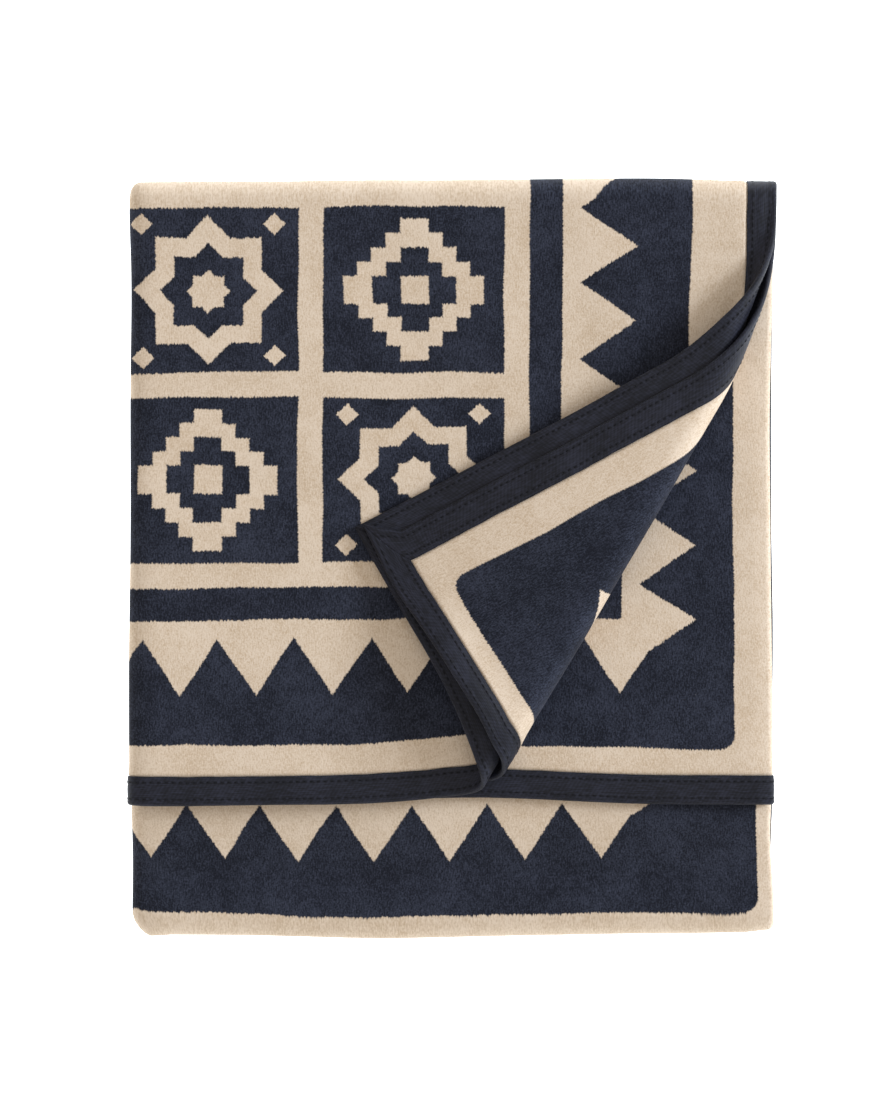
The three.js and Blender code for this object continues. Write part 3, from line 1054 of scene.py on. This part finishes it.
def ribbonMaterial():
    material, wire = newMaterial("wovenRibbon")
    flat = wire.node("ShaderNodeUVMap", {"uv_map": "flat"}, {})
    along, across = flat.parts()
    ribs = (along * ribbonLooks["ribs"] + across * ribbonLooks["twill"]).wave()
    warp = (across * ribbonLooks["warp"]).wave()
    weave = ribs * ribbonLooks["ribShare"] + warp * (1 - ribbonLooks["ribShare"])
    slub = flat.stretched(0.0, (1.0, ribbonLooks["slubStretch"], 1.0)).grain(*ribbonLooks["slubGrain"])
    rub = flat.grain(*ribbonLooks["rubGrain"])
    tone = weave * ribbonLooks["weaveTone"] + slub.around(*ribbonLooks["slubTone"])
    tone = tone + rub.around(*ribbonLooks["rubTone"]) + ribbonLooks["tone"]
    # each stitch row is painted darker: shade in its groove and the dark thread, broken into dashes at the
    # stitches
    beat, middle = ribbonLooks["grooveShadeBeat"]
    turn = (along - ribbon["firstStitch"]) * (2 * math.pi / ribbon["stitchPitch"])
    shadeDash = (turn.math("COSINE") * beat + middle).clamped()
    for row in ribbon["stitchRows"]:
        off = (abs(across) - columnPlace(row)) / ribbonLooks["grooveShadeWide"]
        tone = tone - (1 - off * off).clamped() * shadeDash * ribbonLooks["grooveShadeAndThread"]
    bump = wire.node("ShaderNodeBump", {}, {
        "Strength": ribbonLooks["bump"],
        "Distance": ribbonLooks["bumpHeight"],
        "Height": weave + slub * ribbonLooks["slubHeight"],
    })
    least, more = ribbonLooks["rough"]
    finishMaterial(wire, {
        "Sheen Weight": ribbonLooks["sheen"],
        "Sheen Roughness": ribbonLooks["sheenRough"],
        "Specular IOR Level": ribbonLooks["specular"],
    }, {
        "Base Color": tone.clamped().mix(ribbonLooks["base"], ribbonLooks["light"]),
        "Roughness": least + more * slub,
        "Normal": bump,
    })
    return material


threadLooks = {
    "dark": colour(12, 13, 18),
    "light": colour(34, 36, 46),
    "twistGrain": (900.0, 2.0, 0.6),
    "twistTone": (0.25, 1.6),
    "rough": (0.6, 0.2),
    "specular": 0.12,
}


def threadMaterial():
    material, wire = newMaterial("sewingThread")
    place = wire.node("ShaderNodeTexCoord", {}, {}, 3)
    twist = place.grain(*threadLooks["twistGrain"])
    tone = twist.around(*threadLooks["twistTone"]).clamped()
    least, more = threadLooks["rough"]
    finishMaterial(wire, {"Specular IOR Level": threadLooks["specular"]}, {
        "Base Color": tone.mix(threadLooks["dark"], threadLooks["light"]),
        "Roughness": least + more * twist,
    })
    return material


# The photograph's frame, 880 by 1100, seen straight down through a long lens.
shot = {
    "pixel": 0.000604,  # on the top sheet
    "frameHeight": 1100,
    "objectOffset": (13, 10),  # object's middle from the frame's middle, right and down
    "sensor": 36.0,
    "lens": 110.0,
    "topSheet": 0.057,
}


def addCamera():
    data = bpy.data.cameras.new("camera")
    data.sensor_width = shot["sensor"]
    data.lens = shot["lens"]
    camera = bpy.data.objects.new("camera", data)
    reach = shot["pixel"] * shot["frameHeight"] * shot["lens"] / shot["sensor"]
    right, down = shot["objectOffset"]
    camera.location = (-right * shot["pixel"], down * shot["pixel"], shot["topSheet"] + reach)
    bpy.context.scene.collection.objects.link(camera)
    bpy.context.scene.camera = camera


# The key's bearing, height and softness are in degrees.
key = {"bearing": 17, "height": 24, "softness": 18, "power": 2.70, "tint": (0.84, 0.91, 1.0)}
overhead = {"place": (0.0, 0.2, 2.3), "size": 1.6, "power": 4}
room = {"tint": (1, 0.93, 0.84, 1), "strength": 0.59}


def addLights():
    sun = bpy.data.lights.new("rightKey", "SUN")
    sun.angle = math.radians(key["softness"])
    sun.energy = key["power"]
    sun.color = key["tint"]
    lamp = bpy.data.objects.new("rightKey", sun)
    bearing, height = math.radians(key["bearing"]), math.radians(key["height"])
    across = math.cos(height)
    source = Vector((math.cos(bearing) * across, math.sin(bearing) * across, math.sin(height)))
    lamp.rotation_euler = (-source).to_track_quat("-Z", "Y").to_euler()
    bpy.context.scene.collection.objects.link(lamp)
    panel = bpy.data.lights.new("overhead", "AREA")
    panel.size = overhead["size"]
    panel.energy = overhead["power"]
    lamp = bpy.data.objects.new("overhead", panel)
    lamp.location = overhead["place"]
    bpy.context.scene.collection.objects.link(lamp)
    world = bpy.data.worlds.new("softRoom")
    world.use_nodes = True
    world.node_tree.nodes["Background"].inputs["Color"].default_value = room["tint"]
    world.node_tree.nodes["Background"].inputs["Strength"].default_value = room["strength"]
    bpy.context.scene.world = world


floorLooks = {
    "dark": (0.93, 0.93, 0.93, 1),
    "light": (0.96, 0.96, 0.96, 1),
    "grain": (6.0, 2.0, 0.5),
    "rough": (0.8, 0.1),
    "specular": 0.1,
    "glow": (0.92, 0.97, 1, 1),  # white all over, with no shadow to see
    "glowStrength": 1.8,
    "halfSize": 6,
}


def addFloor():
    material, wire = newMaterial("paleFloor")
    place = wire.node("ShaderNodeTexCoord", {}, {}, 3)
    tone = place.grain(*floorLooks["grain"])
    least, more = floorLooks["rough"]
    finishMaterial(wire, {
        "Specular IOR Level": floorLooks["specular"],
        "Emission Color": floorLooks["glow"],
        "Emission Strength": floorLooks["glowStrength"],
    }, {
        "Base Color": tone.mix(floorLooks["dark"], floorLooks["light"]),
        "Roughness": least + more * tone,
    })
    bm = bmesh.new()
    bmesh.ops.create_grid(bm, x_segments=2, y_segments=2, size=floorLooks["halfSize"])
    toPiece(bm, "floor", [material])


addCamera()
addLights()
addFloor()
bpy.context.scene.view_settings.view_transform = "Standard"
print("camera, lights and floor placed")

woolBlanket = foldedCloth(woolMaterial())
ribbonFinish = ribbonMaterial()
bindings = [edgeRibbon(name, edge, ribbonFinish) for name, edge in edges.items()]
stitches = stitchRows(threadMaterial())

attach(woolBlanket, "root")
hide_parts("blanket_cloth")
for piece, edge in zip(bindings, edges.values()):
    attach(piece, "root")
    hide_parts(edge["node"])
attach(stitches, "root")
